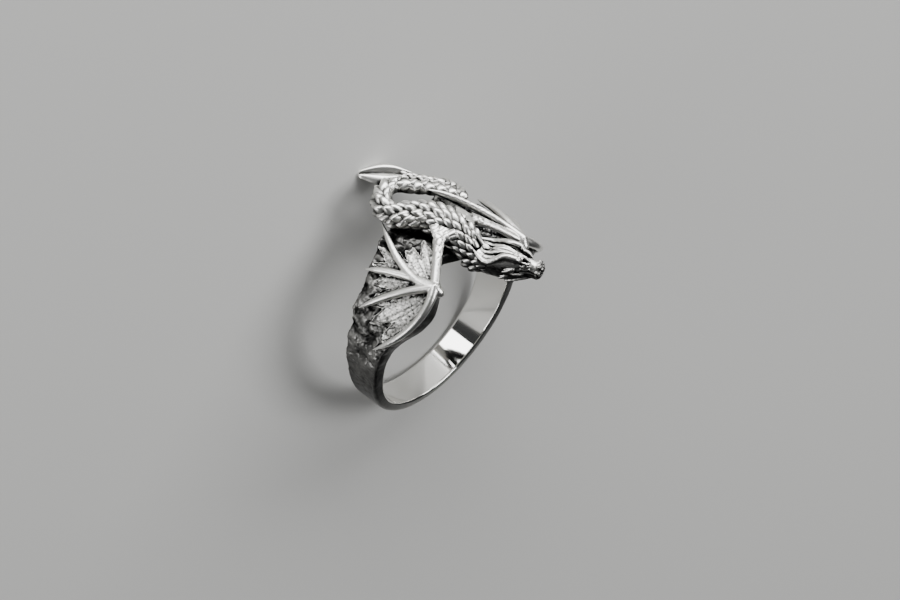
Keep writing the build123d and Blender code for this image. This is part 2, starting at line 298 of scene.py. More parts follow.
# Shank and shoulders: broken like rock above, smooth below, mirror bright inside.
# Smoke is how black a piece is left before its recesses are found. Here it wears off where the rock stands
# out, and fades away behind, where the band rubs bright.
shankLook = {
    "width": 3.4, "wall": 1.0, "shoulderWall": 2.0, "nearFlare": 2.4, "farFlare": 4.0, "edge": 0.35,
    "rim": 0.16, "lump": 0.30, "lumpMm": 1.5, "lumpLevel": 0.55, "speck": 0.025, "speckMm": 0.22,
    "crack": 0.24, "cellMm": 1.7, "fineCrack": 0.108, "fineCellMm": 0.68, "shake": 0.35, "shakeMm": 0.9,
    "crackLevel": 0.8, "rockGain": 1.5, "rockFrom": 0.25, "smoke": 0.97, "wear": 0.37, "wearFrom": -0.35,
    "wearOver": 0.42, "shine": 0.55, "shineFrom": 112, "shineOver": 50,
}
shoulderRows = [  # turn from the crown, near and far flare, extra wall
    (0, 0.00, 0.90, 0.45), (7, -0.22, 0.92, 0.50), (13, -0.48, 0.95, 0.62), (18, -0.22, 0.98, 0.75),
    (23, 0.22, 1.00, 0.85), (30, 0.60, 0.90, 0.95), (37, 0.85, 0.76, 1.00), (43, 0.95, 0.66, 1.00),
    (53, 0.80, 0.55, 1.00), (64, 0.36, 0.42, 0.90), (73, 0.10, 0.34, 0.78), (84, 0.00, 0.26, 0.62),
    (97, 0.00, 0.14, 0.42), (115, 0.00, 0.04, 0.20), (140, 0.00, 0.00, 0.05), (180, 0.00, 0.00, 0.00),
]


def fromCrown(turns):
    return np.abs((turns + 180) % 360 - 180)


def shoulderAt(turns):
    # near edge, far edge, outer radius and share of extra wall at each turn, corners eased over 3 degrees
    rows, look = np.array(shoulderRows), shankLook
    eases = np.linspace(-3, 3, 9)
    eased = [[np.interp(fromCrown(turns + ease), rows[:, 0], column) for column in rows.T[1:]]
             for ease in eases]
    near, far, extra = np.mean(eased, axis=0)
    half = look["width"] / 2
    radius = boreRadius + look["wall"] + (look["shoulderWall"] - look["wall"]) * extra
    return half + look["nearFlare"] * near, -half - look["farFlare"] * far, radius, extra


def shankOutline():
    # once round the band's section: share of the way to the near edge, shift, share of the wall, lift,
    # how rough, and whether it is mirror bright
    edge, rim = shankLook["edge"], shankLook["rim"]
    corner = np.linspace(0, math.pi / 2, 6)
    top = np.linspace(1, 0, 58)[1:-1]
    outline = [(t, rim * (1 - 2 * t), 0, 0, 0, 1) for t in np.linspace(0.03, 0.97, 8)]
    outline += [(1, rim * (math.sin(a) - 1), 0, rim * (1 - math.cos(a)), 0, 1) for a in corner]
    outline += [(1, 0, w, rim * (1 - w) - edge * w, 0.2, 0) for w in (0.3, 0.6)]
    outline += [(1, edge * (math.cos(a) - 1), 1, edge * (math.sin(a) - 1), 0.5, 0) for a in corner]
    outline += [(t, edge * (1 - 2 * t), 1, 0, 1, 0) for t in top]
    outline += [(0, edge * (1 - math.cos(a)), 1, edge * (math.sin(a) - 1), 0.8, 0) for a in corner[::-1]]
    outline += [(0, 0, w, rim * (1 - w) - edge * w, 0.5, 0) for w in (0.6, 0.3)]
    outline += [(0, rim * (1 - math.sin(a)), 0, rim * (1 - math.cos(a)), 0, 1) for a in corner[::-1]]
    return np.array(outline)


def brokenRock(points):
    # how far the rock stands out at each point, in mm: lumps and grit, cut by cracks at odd angles
    look = shankLook
    shake = np.array([noise.noise_vector(Vector(p) / look["shakeMm"]) for p in points])
    shaken = points + look["shake"] * shake
    rock = look["lump"] * (grain(points, look["lumpMm"], 3) - look["lumpLevel"])
    rock += look["speck"] * grain(points, look["speckMm"], 2)
    rock += look["crack"] * (cracks(shaken, look["cellMm"]) - look["crackLevel"])
    apart = 7.0  # takes the fine cracks from elsewhere in the pattern
    rock += look["fineCrack"] * (cracks(shaken + apart, look["fineCellMm"]) - look["crackLevel"])
    return rock


def makeShank():
    look = shankLook
    turns = np.linspace(0, 360, 760, endpoint=False)
    near, far, radius, extra = shoulderAt(turns)
    outline = shankOutline()
    share, shift, height, lift, rough, bright = outline.T
    x = far[:, None] + (near - far)[:, None] * share + shift
    r = boreRadius + (radius - boreRadius)[:, None] * height + lift
    a = np.radians(turns)[:, None]
    points = np.stack([x, -r * np.sin(a), r * np.cos(a)], axis=-1).reshape(-1, 3)
    count, faces, mirror = len(outline), [], []
    for k in range(len(turns)):
        here, after = k * count, (k + 1) % len(turns) * count
        for j in range(count):
            beyond = (j + 1) % count
            faces.append((here + j, here + beyond, after + beyond, after + j))
            mirror.append(int(bright[j] and bright[beyond]))
    piece = addPiece("shank", points, faces)
    for material in (silver, mirrorSilver):
        piece.data.materials.append(material)
    piece.data.polygons.foreach_set("material_index", mirror)
    # rock where the wall is thick, smooth metal where it is thin
    broken = (rough * np.clip(extra * look["rockGain"] - look["rockFrom"], 0, 1)[:, None]).ravel()
    amount = np.zeros(len(points))
    rocky = broken > 0.01
    amount[rocky] = brokenRock(points[rocky]) * broken[rocky]
    pushOut(piece, amount)
    behind = np.repeat(np.clip((fromCrown(turns) - look["shineFrom"]) / look["shineOver"], 0, 1), count)
    worn = broken * np.clip((amount - look["wearFrom"]) / look["wearOver"], 0, 1)
    noteValues(piece.data, "smoke", look["smoke"] - look["wear"] * worn - look["shine"] * behind)
    return piece


shank = makeShank()
print("dragon ring: shank")

# Wings: bones, claw and arm melted together, over a web with torn edges
wingLook = {
    "boneWidth": 0.94, "boneRise": 0.16, "armWidth": 1.05, "lift": 2.6, "reach": 8.8, "clawLong": 1.4,
    "clawAhead": 0.62, "clawDown": 0.50, "clawHook": 0.10, "knuckle": 0.72, "bodyTurn": -1.0,
    "skin": 0.10, "skinMm": 0.75, "skinReach": 2.6, "skinLevel": 0.8, "boneSpeck": 0.006, "boneSpeckMm": 0.3,
    "voxel": 0.055,
    "webDrop": 0.36, "webFoot": 1.1, "sag": 0.10, "sagGrows": 2.2, "tear": 0.08, "fineTear": 0.4,
    "rib": 0.02, "ribs": 5, "ribGrows": 2.5, "ribShake": 1.2, "rim": 0.16, "rimWide": 0.03,
    "rimBright": 0.8, "rimBrightWide": 0.035, "speck": 0.02, "speckMm": 0.16, "smoke": 0.56,
    "footSmoke": 0.95,
}
# The left wing is side 1 and the right one side -1: where the wrist is along the finger and round it, how far
# it sinks, how far each finger arches, and the row of the finger by the body
wingSides = {
    1: {"name": "left", "wrist": (2.9, 29.5), "sink": 0.0, "arch": (0.0, 0.0, 0.0, 0.0),
        "firstFinger": (19.4, -1.01, 1.02, 0.07, -0.08)},
    -1: {"name": "right", "wrist": (3.9, 33.0), "sink": 0.32, "arch": (0.0, 0.5, 0.3, 0.0),
         "firstFinger": (5.7, -1.025, 1.48, 0.02, 0.03)},
}
fingerRows = [  # the other three fingers' tips: turn, along, lift, bow in turn, bow along
    (42.0, -0.81, 0.93, -0.02, 0.02), (59.0, -0.62, 0.92, -0.03, -0.02), (73.5, -0.25, 0.78, -0.02, -0.75),
]
fingerTaper = [(0, 1.2), (0.25, 0.98), (0.5, 0.86), (0.75, 0.74), (0.9, 0.55), (1, 0.1)]  # way out, width
armNeck = (-0.21, 11.1, 3.26)  # along the finger, turn off the body's own, lift over the bore
armFan = [(-1.68, 7.3, 3.52), (-0.58, 5.5, 3.67), (0.68, 4.4, 3.77)]  # where its skin ends on the scales
webHeart = (-2.6, 1.5, 2.75)  # the body's middle between the webs, in the same columns
webFlank = (0.5, 60.0, 0.94)  # from there to where a web leaves the body: along, turn, reach
webRows = [  # torn edge of each gap, as shares of the bones' length
    (0.55, 0.80, 0.62, 0.76, 0.60, 0.92), (0.92, 0.74, 0.92, 0.80, 0.90, 0.94),
    (0.94, 0.78, 0.88, 0.72, 0.84, 0.94), (0.94, 0.80, 0.92, 0.76, 0.90, 0.94),
]


def wristPoint(side):
    along, turn = wingSides[side]["wrist"]
    return around(along, side * turn, boreRadius + wingLook["lift"] - wingSides[side]["sink"])


def webRoot(side):
    (x, turn, lift), (along, flankTurn, reach) = webHeart, webFlank
    return around(x, turn, boreRadius + lift) + around(along, side * flankTurn, reach)


def fingerLine(side, number, marks):
    # points at these shares of the way from the wrist to a finger's tip
    wing = wingSides[side]
    wristX, wristTurn = wing["wrist"]
    turn, along, lift, bowTurn, bowAlong = fingerRows[number - 1] if number else wing["firstFinger"]
    line = []
    for t in marks:
        bow = 4 * t * (1 - t)
        angle = wristTurn + (turn - wristTurn) * t + bow * bowTurn * 90
        r = boreRadius + wingLook["lift"] * (1 + (lift - 1) * t)
        r += wing["arch"][number] * bow - wing["sink"] * (1 - t)
        line.append(around(wristX + along * wingLook["reach"] * (t + bow * bowAlong), side * angle, r))
    return np.array(line)


def makeBones(side):
    look, wing, wrist = wingLook, wingSides[side], wristPoint(side)
    neck, *fan = [around(x, side * turn + look["bodyTurn"], boreRadius + lift)
                  for x, turn, lift in (armNeck, *armFan)]
    middle = 0.5 * (neck + wrist) + 0.15 * outwards(neck)
    arm = [wrist + 0.15 * (wrist - middle), wrist, middle, neck]
    parts = [roundBar(arm, [look["armWidth"] * w for w in (0.5, 1.0, 0.95, 1.3)], sides=20, flat=0.8)]
    for end in fan:
        strip = [0.6 * neck + 0.4 * middle, neck, 0.5 * (neck + end) + 0.06 * unit(end), end]
        parts.append(roundBar(strip, (0.9, 1.1, 1.15, 1.1), sides=20, flat=0.45))
    marks = np.linspace(-0.02, 1, 9)
    widths = look["boneWidth"] * np.interp(marks, *zip(*fingerTaper))
    for number in range(len(fingerRows) + 1):
        line = fingerLine(side, number, marks)
        parts.append(roundBar(line + look["boneRise"] * outwards(line), widths))
    parts.append(ball(wrist, look["knuckle"], (1.1, 0.9, 0.9)))
    along, turn = wing["wrist"]
    clawEnd = np.linalg.norm(wrist[1:]) - look["clawDown"] * look["clawLong"]
    tip = around(along + look["clawAhead"] * look["clawLong"], side * turn, clawEnd)
    claw = [wrist, 0.5 * (wrist + tip) + np.array([look["clawHook"] * look["clawLong"], 0, 0]), tip]
    parts.append(roundBar(claw, (1.3, 1.1, 0.60)))
    piece = castTogether(wing["name"] + "WingBones", parts, look["voxel"], 5)
    here = pointsOf(piece)
    # scaly by the arm's root, smooth further out
    scaly = look["skin"] * bell(np.linalg.norm(here - neck, axis=1), 0, look["skinReach"])
    skin = scaly * (cracks(here, look["skinMm"]) - look["skinLevel"])
    pushOut(piece, skin + look["boneSpeck"] * grain(here, look["boneSpeckMm"], 2))
    return piece


def webGap(side, gap, across, along):
    # one sheet between two bones: lines of points from the wrist to a torn edge, and how smoked each is
    look, wrist, root = wingLook, wristPoint(side), webRoot(side)
    crossing = np.linspace(0, 1, across)
    torn = np.interp(crossing, np.linspace(0, 1, len(webRows[gap])), webRows[gap])
    wide = np.array([noise.noise(Vector((9 * s, gap * 3.1, side * 5.7))) for s in crossing])
    fine = np.array([noise.noise(Vector((31 * s, gap * 2.3, side * 1.9))) for s in crossing])
    torn += look["tear"] * (wide + look["fineTear"] * fine)
    lines, smoke = [], []
    for s, edge in zip(crossing, torn):
        marks = np.linspace(0.05, min(edge, 0.97), along)
        start = fingerLine(side, gap - 1, marks) if gap else wrist + (root - wrist) * marks[:, None]
        line = start + (fingerLine(side, gap, marks) - start) * s
        level = np.hypot(line[:, 1], line[:, 2])
        shaken = look["ribs"] * s + look["ribShake"] * noise.noise(Vector((4 * s, gap, side)))
        fold = look["rib"] * math.sin(2 * math.pi * shaken)
        sag = look["sag"] * 4 * s * (1 - s)
        wanted = level - look["webDrop"] - sag * np.minimum(marks * look["sagGrows"], 1)
        wanted += fold * np.minimum(marks * look["ribGrows"], 1)
        wanted += look["rim"] * bell(marks, marks[-1], look["rimWide"])
        line[:, 1:] *= (wanted / level)[:, None]
        lines.append(line)
        smoke.append(look["smoke"] * (1 - look["rimBright"] * bell(marks, marks[-1], look["rimBrightWide"])))
    points = np.concatenate(lines)
    points += outwards(points) * (look["speck"] * grain(points, look["speckMm"], 3))[:, None]
    return points, np.concatenate(smoke)


def makeWeb(side):
    # each gap's sheet, closed by walls down into the shoulder and a floor
    across, along = ((44, 96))
    parts, smoke = [], []
    for gap in range(len(webRows)):
        points, gapSmoke = webGap(side, gap, across, along)
        faces = []
        for j in range(across - 1):
            for k in range(along - 1):
                a = j * along + k
                faces.append((a, *(a + 1, a + along + 1, a + along)[::side]))
        border = [j * along for j in range(across)] + [(across - 1) * along + k for k in range(1, along)]
        border += [j * along + along - 1 for j in range(across - 2, -1, -1)] + list(range(along - 2, 0, -1))
        border = border[::side]  # the right wing is mirrored, so its faces are turned round
        edge = points[border]
        foot = edge * np.array([1, 0, 0]) + outwards(edge) * (boreRadius + wingLook["webFoot"])
        start = len(points)
        for j in range(len(border)):
            after = (j + 1) % len(border)
            faces.append((border[j], border[after], start + after, start + j))
            faces.append((start + j, start + after, start + len(border)))
        parts.append((np.vstack([points, foot, foot.mean(axis=0)]), faces))
        smoke += [gapSmoke, np.full(len(border) + 1, wingLook["footSmoke"])]
    piece = addPiece(wingSides[side]["name"] + "WingWeb", *joined(parts))
    piece.data.materials.append(webSilver)
    noteValues(piece.data, "smoke", np.concatenate(smoke))
    return piece


wingBones = [makeBones(side) for side in wingSides]
wingWebs = [makeWeb(side) for side in wingSides]
print("dragon ring: wings")

# Dragon's body: a bare core with a coat of pointed scales that overlap towards the tail, and a beaded crest
bodyLook = {
    "width": 2.6, "neckLift": 2.5, "reach": 20.0, "headSwing": 27.0, "coreShare": 0.86, "sunk": 0.30,
    "scalePitch": 1.50, "least": 3, "most": 11, "rowStep": 0.70, "scaleLong": 1.75, "scaleWide": 0.76,
    "scaleHigh": 0.54, "thinStep": 0.62, "thinHigh": 0.4, "napeSize": 0.70, "napeFrom": -0.8, "napeTo": 2.6,
    "firstRow": 0.5, "lastRow": 0.1,
}
crestLook = {
    "scalePitch": 1.50, "least": 1, "most": 1, "rowStep": 0.80, "scaleLong": 1.25, "scaleWide": 0.16,
    "scaleHigh": 0.54, "napeSize": 1.0, "proud": 0.06, "from": 0.15,
}
bodyRows = [  # along, turn, lift, girth, crest
    (-0.406, -8.2, 1.32, 0.34, 0.0), (-0.346, -13.3, 1.28, 0.40, 0.0), (-0.284, -19.1, 1.28, 0.44, 0.0),
    (-0.213, -22.2, 1.33, 0.48, 0.3), (-0.155, -18.1, 1.40, 0.51, 0.7), (-0.223, -12.4, 1.45, 0.54, 0.9),
    (-0.322, -5.1, 1.36, 0.58, 1.0), (-0.395, 2.2, 1.32, 0.65, 1.0), (-0.388, 9.2, 1.40, 0.76, 1.0),
    (-0.325, 14.0, 1.42, 0.86, 1.0), (-0.253, 12.8, 1.36, 0.96, 0.6), (-0.190, 6.4, 1.22, 1.08, 0.0),
    (-0.130, 1.5, 1.10, 1.20, 0.0), (-0.040, -1.2, 0.98, 1.36, 0.0), (0.075, -1.2, 0.88, 1.50, 0.0),
    (0.150, -2.0, 0.84, 1.42, 0.0),
]
napeRows = [  # along, left, up from the nape and girth, where the coat runs under the skull
    (0.0, 0.20, -0.50, 1.70), (0.8, 0.20, -0.58, 1.65), (1.6, 0.15, -0.68, 1.50), (2.3, 0.10, -0.75, 1.20),
]
bareRows = [(8, 2.0), (9, 0.75), (35, 0.6), (50, 0.2)]  # steps past the nape, share of the way up
scaleRows = [  # one scale from its root to its point: along, half width, height
    (0.0, 0.26, 0.05), (0.12, 0.40, 0.30), (0.28, 0.49, 0.58), (0.45, 0.50, 0.80), (0.60, 0.46, 0.95),
    (0.74, 0.36, 1.0), (0.86, 0.24, 0.94), (0.95, 0.11, 0.74), (1.0, 0.02, 0.42),
]
scaleLook = {
    "round": 0.97, "edgeSmoke": 0.85, "rootSmoke": 0.6, "rootLong": 0.3,
    "footLong": 0.96, "footWide": 0.92, "footDeep": 0.75, "footSmoke": 0.95,
}
bodyLine = np.array([[*around(along * bodyLook["reach"], turn, boreRadius + bodyLook["neckLift"] * lift),
                      girth * bodyLook["width"] / 2, crest] for along, turn, lift, girth, crest in bodyRows])
nape = bodyLine[-1, :3]
swing = math.radians(bodyLook["headSwing"])
headAhead = np.array([math.cos(swing), math.sin(swing), 0.0])
headLeft = np.array([math.sin(swing), -math.cos(swing), 0.0])


def headPoint(along, left, up):
    return nape + along * headAhead + left * headLeft + np.array([0.0, 0.0, up])


coatRows = np.vstack([bodyLine[:-1], [[*headPoint(*row[:3]), row[3], 0.0] for row in napeRows]])


def makeOneScale():
    # root at the origin, point along +x, back along +z, in shares of its size, smoked at its root and edges
    look, across = scaleLook, np.linspace(-1, 1, 9)
    points, smoke, faces = [], [], []
    for along, wide, high in scaleRows:
        for s in across:
            points.append((along, s * wide, high * math.sqrt(1 - look["round"] * s * s)))
            smoke.append(look["edgeSmoke"] * s**4 + look["rootSmoke"] * max(0, 1 - along / look["rootLong"]))
    count = len(across)
    for k in range(len(scaleRows) - 1):
        for j in range(count - 1):
            a = k * count + j
            faces.append((a, a + count, a + count + 1, a + 1))
    border = list(range(count)) + [k * count + count - 1 for k in range(1, len(scaleRows))]
    border += [(len(scaleRows) - 1) * count + j for j in range(count - 2, -1, -1)]
    border += [k * count for k in range(len(scaleRows) - 2, 0, -1)]
    start = len(points)
    for j, i in enumerate(border):
        points.append((points[i][0] * look["footLong"], points[i][1] * look["footWide"], -look["footDeep"]))
        smoke.append(look["footSmoke"])
        after = (j + 1) % len(border)
        faces.append((i, border[after], start + after, start + j))
    faces.append(tuple(range(start, start + len(border))))
    shape = addPiece("oneScale", points, faces)
    noteValues(shape.data, "smoke", smoke)
    return shape


def coatPath(look, crested):
    # a point for each row of scales along the body, with the body's directions there and how they are set
    line = smoothRows(coatRows, 700)
    reach = np.concatenate([[0], np.cumsum(np.linalg.norm(np.diff(line[:, :3], axis=0), axis=1))])
    ahead = unit(np.gradient(line[:, :3], axis=0))
    side = unit(np.cross(ahead, line[:, :3] * np.array([0, 1, 1])))
    up = np.cross(side, ahead)
    girth = line[:, 3] + (look["proud"] if crested else 0.0)
    fullness = girth / (bodyLook["width"] / 2)
    small = np.interp(line[:, 0], (bodyLook["napeFrom"], bodyLook["napeTo"]), (1, look["napeSize"]))
    long = bodyLook["thinStep"] + (1 - bodyLook["thinStep"]) * fullness
    high = bodyLook["thinHigh"] + (1 - bodyLook["thinHigh"]) * fullness
    picks, steps, here = [], [], bodyLook["firstRow"]
    while here < reach[-1] - bodyLook["lastRow"]:
        k = int(np.searchsorted(reach, here))
        step = look["rowStep"] * long[k] * small[k]
        if not crested or line[k, 4] > look["from"]:
            picks.append(k)
            steps.append(step)
        here += step
    wanted = np.round(2 * math.pi * girth[picks] / (look["scalePitch"] * small[picks]))
    atNape = np.linalg.norm(nape - line[:, :3], axis=1).argmin()
    path = bpy.data.meshes.new("coatPath")
    path.from_pydata([tuple(line[k, :3]) for k in picks], [], [])
    noteValues(path, "backward", -ahead[picks], "FLOAT_VECTOR")
    noteValues(path, "side", side[picks], "FLOAT_VECTOR")
    noteValues(path, "up", up[picks], "FLOAT_VECTOR")
    noteValues(path, "girth", girth[picks])
    noteValues(path, "step", steps)
    # every other row is half a scale on, but the crest's beads stand in line
    noteValues(path, "odd", 0.5 * (np.arange(len(picks)) % 2) * (not crested))
    noteValues(path, "round", np.clip(wanted, look["least"], look["most"]))
    noteValues(path, "high", look["scaleHigh"] * high[picks] * small[picks])
    # no scale grows where it would point higher than this: the skull lies over the coat past the nape
    past, least = zip(*bareRows)
    noteValues(path, "bare", np.interp(picks, atNape + np.array(past), least))
    return path


def coatTree():
    # copies each path point round the body and sets a scale on every copy, point towards the tail
    tree = bpy.data.node_groups.new("scaleCoat", "GeometryNodeTree")
    sockets = tree.interface
    sockets.new_socket("Geometry", in_out="INPUT", socket_type="NodeSocketGeometry")
    kinds = {"Scale": "NodeSocketObject", "Length": "NodeSocketFloat", "Width": "NodeSocketFloat",
             "Core": "NodeSocketFloat", "Sunk": "NodeSocketFloat", "Material": "NodeSocketMaterial"}
    ids = {key: sockets.new_socket(key, in_out="INPUT", socket_type=kind).identifier
           for key, kind in kinds.items()}
    sockets.new_socket("Geometry", in_out="OUTPUT", socket_type="NodeSocketGeometry")
    given = addNode(tree, "NodeGroupInput").outputs
    kept = {}
    for kind, names in (("FLOAT", ("girth", "step", "odd", "round", "high", "bare")),
                        ("FLOAT_VECTOR", ("backward", "side", "up"))):
        for name in names:
            stored = addNode(tree, "GeometryNodeInputNamedAttribute", {"Name": name}, data_type=kind)
            kept[name] = stored.outputs["Attribute"]

    copies = addNode(tree, "GeometryNodeDuplicateElements",
                     {"Geometry": given["Geometry"], "Amount": kept["round"]}, domain="POINT").outputs
    number = addNode(tree, "ShaderNodeMath", {0: copies["Duplicate Index"], 1: kept["odd"]}, operation="ADD")
    turns = addNode(tree, "ShaderNodeMath", {0: number, 1: 2 * math.pi}, operation="MULTIPLY")
    angle = addNode(tree, "ShaderNodeMath", {0: turns, 1: kept["round"]}, operation="DIVIDE")
    cosine = addNode(tree, "ShaderNodeMath", {0: angle}, operation="COSINE")
    sine = addNode(tree, "ShaderNodeMath", {0: angle}, operation="SINE")
    sideways = addNode(tree, "ShaderNodeVectorMath", {0: kept["side"], "Scale": cosine}, operation="SCALE")
    upwards = addNode(tree, "ShaderNodeVectorMath", {0: kept["up"], "Scale": sine}, operation="SCALE")
    outward = addNode(tree, "ShaderNodeVectorMath", {0: sideways, 1: upwards}, operation="ADD")

    core = addNode(tree, "ShaderNodeMath", {0: kept["girth"], 1: given["Core"]}, operation="MULTIPLY")
    seat = addNode(tree, "ShaderNodeMath", {0: core, 1: given["Sunk"]}, operation="SUBTRACT")
    offset = addNode(tree, "ShaderNodeVectorMath", {0: outward, "Scale": seat}, operation="SCALE")
    seated = addNode(tree, "GeometryNodeSetPosition", {"Geometry": copies["Geometry"], "Offset": offset})
    facing = addNode(tree, "FunctionNodeAxesToRotation",
                     {"Primary Axis": outward, "Secondary Axis": kept["backward"]},
                     primary_axis="Z", secondary_axis="X")
    rim = addNode(tree, "ShaderNodeMath", {0: kept["girth"], 1: 2 * math.pi}, operation="MULTIPLY")
    pitch = addNode(tree, "ShaderNodeMath", {0: rim, 1: kept["round"]}, operation="DIVIDE")
    long = addNode(tree, "ShaderNodeMath", {0: given["Length"], 1: kept["step"]}, operation="MULTIPLY")
    wide = addNode(tree, "ShaderNodeMath", {0: given["Width"], 1: pitch}, operation="MULTIPLY")
    size = addNode(tree, "ShaderNodeCombineXYZ", {"X": long, "Y": wide, "Z": kept["high"]})
    crownward = addNode(tree, "ShaderNodeSeparateXYZ", {"Vector": outward}).outputs["Z"]
    grows = addNode(tree, "FunctionNodeCompare", {"A": crownward, "B": kept["bare"]}, operation="LESS_THAN")
    shape = addNode(tree, "GeometryNodeObjectInfo", {"Object": given["Scale"]}).outputs["Geometry"]
    scales = {"Points": seated, "Selection": grows, "Instance": shape, "Rotation": facing, "Scale": size}
    spread = addNode(tree, "GeometryNodeInstanceOnPoints", scales)
    real = addNode(tree, "GeometryNodeRealizeInstances", {"Geometry": spread})
    skin = addNode(tree, "GeometryNodeSetMaterial", {"Geometry": real, "Material": given["Material"]})
    addNode(tree, "NodeGroupOutput", {"Geometry": skin})
    return tree, ids


def makeScales(name, look, crested):
    # a coat over the whole body, or with crested only the row of beads along the loop's outer side
    coat = bpy.data.objects.new(name, coatPath(look, crested))
    bpy.context.collection.objects.link(coat)
    oneScale = makeOneScale()
    spreading = coat.modifiers.new("scaleCoat", "NODES")
    spreading.node_group, ids = coatTree()
    inputs = {"Scale": oneScale, "Material": silver, "Length": look["scaleLong"] / look["rowStep"],
              "Width": look["scaleWide"], "Core": bodyLook["coreShare"], "Sunk": bodyLook["sunk"]}
    for key, value in inputs.items():
        spreading[ids[key]] = value
    applied(coat)
    bpy.data.objects.remove(oneScale)
    return coat


def makeCore():
    widths = 2 * (coatRows[:, 3] * bodyLook["coreShare"] - 0.5 * bodyLook["sunk"])
    return addPiece("bodyCore", *roundBar(coatRows[:, :3], widths, sides=32, steps=160))


bodyScales = makeScales("bodyScales", bodyLook, False)
bodyCore = makeCore()
bodyCrest = makeScales("bodyCrest", crestLook, True)
print("dragon ring: body")

# Head: a skull with swept horns, folds, barbs and a knobbly snout, melted together
headLook = {
    "voxel": 0.055, "roundAbove": 0.85, "boxyBelow": 0.6, "hornWidth": 0.64, "browBelow": 0.36,
    "browIn": 0.86, "mouthDeep": 0.16, "mouthWide": 0.10, "mouthFrom": 3.6, "mouthMiddle": 0.3,
    "lip": 0.05, "lipWide": 0.08, "lipUp": 0.19, "lipFrom": 4.0, "speck": 0.018, "speckMm": 0.35,
    "knob": 0.11, "knobMm": 0.36, "knobLevel": 0.7, "knobSmoke": 1.15, "snoutFrom": 5.9, "fade": 0.5,
}
skullRows = [  # along, half width, top, bottom in mm from the nape
    (-1.1, 1.15, 0.84, 1.40), (0.0, 1.40, 0.90, 1.70), (1.1, 1.42, 0.80, 1.90), (2.3, 1.38, 1.05, 1.90),
    (3.4, 1.26, 1.25, 2.05), (4.2, 1.12, 1.34, 1.75), (5.0, 0.94, 1.04, 1.32), (5.6, 0.80, 0.80, 1.05),
    (6.05, 0.80, 0.74, 1.02), (6.42, 0.84, 0.80, 0.98), (6.68, 0.68, 0.64, 0.76), (6.84, 0.30, 0.34, 0.34),
]
mouthRow = [(3.6, -0.16), (4.4, -0.10), (5.4, 0.06), (6.4, -0.06), (7.0, -0.10)]  # along, up
hornRow = [  # along, out, up and share of the horn's width
    (4.30, 0.92, 1.06, 0.70), (3.98, 0.97, 1.40, 0.95), (3.50, 1.00, 1.50, 1.00), (2.90, 1.03, 1.50, 1.00),
    (2.42, 1.13, 1.34, 1.00), (1.97, 1.32, 0.98, 0.95), (1.41, 1.52, 0.58, 0.95), (0.88, 1.52, 0.48, 0.85),
    (0.18, 1.27, 0.64, 0.65), (-0.60, 0.85, 1.10, 0.10),
]
crownRow = [  # along, left, up, width
    (0.5, -0.1, 0.7, 0.6), (-0.2, -0.25, 1.5, 0.36), (-0.75, -0.4, 2.0, 0.06),
]
headRidges = [  # points along, out and up in mm, then the widths, made on both sides
    # eyelid, brow's folds and cheek
    ([(4.10, 0.45, 1.72), (4.35, 0.74, 1.48), (4.42, 0.94, 1.08)], (0.30, 0.40, 0.25)),
    ([(4.35, 0.40, 1.62), (4.85, 0.46, 1.38), (5.40, 0.42, 0.98)], (0.30, 0.42, 0.22)),
    ([(4.42, 0.92, 1.14), (4.90, 0.86, 1.10), (5.32, 0.64, 0.96)], (0.20, 0.26, 0.14)),
    ([(4.50, 0.96, 0.70), (4.95, 0.92, 0.60), (5.40, 0.68, 0.78)], (0.18, 0.28, 0.14)),
    ([(4.50, 1.02, 0.34), (4.95, 0.94, 0.28), (5.44, 0.80, 0.42)], (0.12, 0.20, 0.12)),
    # folds between the horns
    ([(0.25, 0.46, 0.88), (0.75, 0.60, 0.84), (1.20, 0.54, 0.84), (1.75, 0.46, 1.12), (2.60, 0.40, 1.36),
      (3.75, 0.22, 1.32)], (0.16, 0.34, 0.40, 0.42, 0.36, 0.06)),
    ([(1.32, 0.06, 0.90), (1.70, 0.05, 1.22), (2.10, 0.04, 1.42), (2.75, 0.04, 1.48), (3.70, 0.06, 1.32)],
     (0.20, 0.34, 0.36, 0.34, 0.06)),
    ([(0.20, 0.08, 0.86), (0.60, 0.16, 1.00), (1.05, 0.04, 0.92)], (0.12, 0.36, 0.12)),
    # barbs and jaw
    ([(3.95, 1.08, 0.10), (3.40, 1.34, -0.08), (2.80, 1.56, -0.26)], (0.50, 0.42, 0.08)),
    ([(3.60, 0.95, -0.90), (3.10, 1.26, -1.14), (2.55, 1.52, -1.36)], (0.50, 0.40, 0.08)),
    ([(5.00, 0.86, -0.36), (4.30, 1.12, -0.44), (3.60, 1.20, -0.40)], (0.20, 0.44, 0.20)),
    ([(6.00, 0.50, -0.66), (5.10, 0.78, -1.00), (4.10, 0.98, -1.45), (3.30, 1.05, -1.85)],
     (0.24, 0.30, 0.30, 0.16)),
    # snout
    ([(5.95, 0.34, 0.62), (6.30, 0.46, 0.66), (6.60, 0.36, 0.50)], (0.24, 0.40, 0.24)),
    ([(6.10, 0.74, 0.16), (6.42, 0.78, 0.26), (6.68, 0.50, 0.20)], (0.20, 0.36, 0.20)),
]
eyeball = ((4.88, 0.78, 0.84), 0.25)


def makeSkull():
    # rounder above and boxier below
    rows = smoothRows([(row[0], 0, 0, *row[1:]) for row in skullRows], 60)
    sides = 40
    points = []
    for along, _, _, wide, top, bottom in rows:
        for a in np.linspace(0, 2 * math.pi, sides, endpoint=False):
            left, up = math.sin(a), math.cos(a)
            above, boxy = up > 0, headLook["boxyBelow"]
            out = wide * math.copysign(abs(left) ** (headLook["roundAbove"] if above else boxy), left)
            points.append(headPoint(along, out, top * up if above else -bottom * abs(up) ** boxy))
    return closeRings(points, sides, [headPoint(rows[0][0], 0, 0), headPoint(rows[-1][0], 0, 0)])


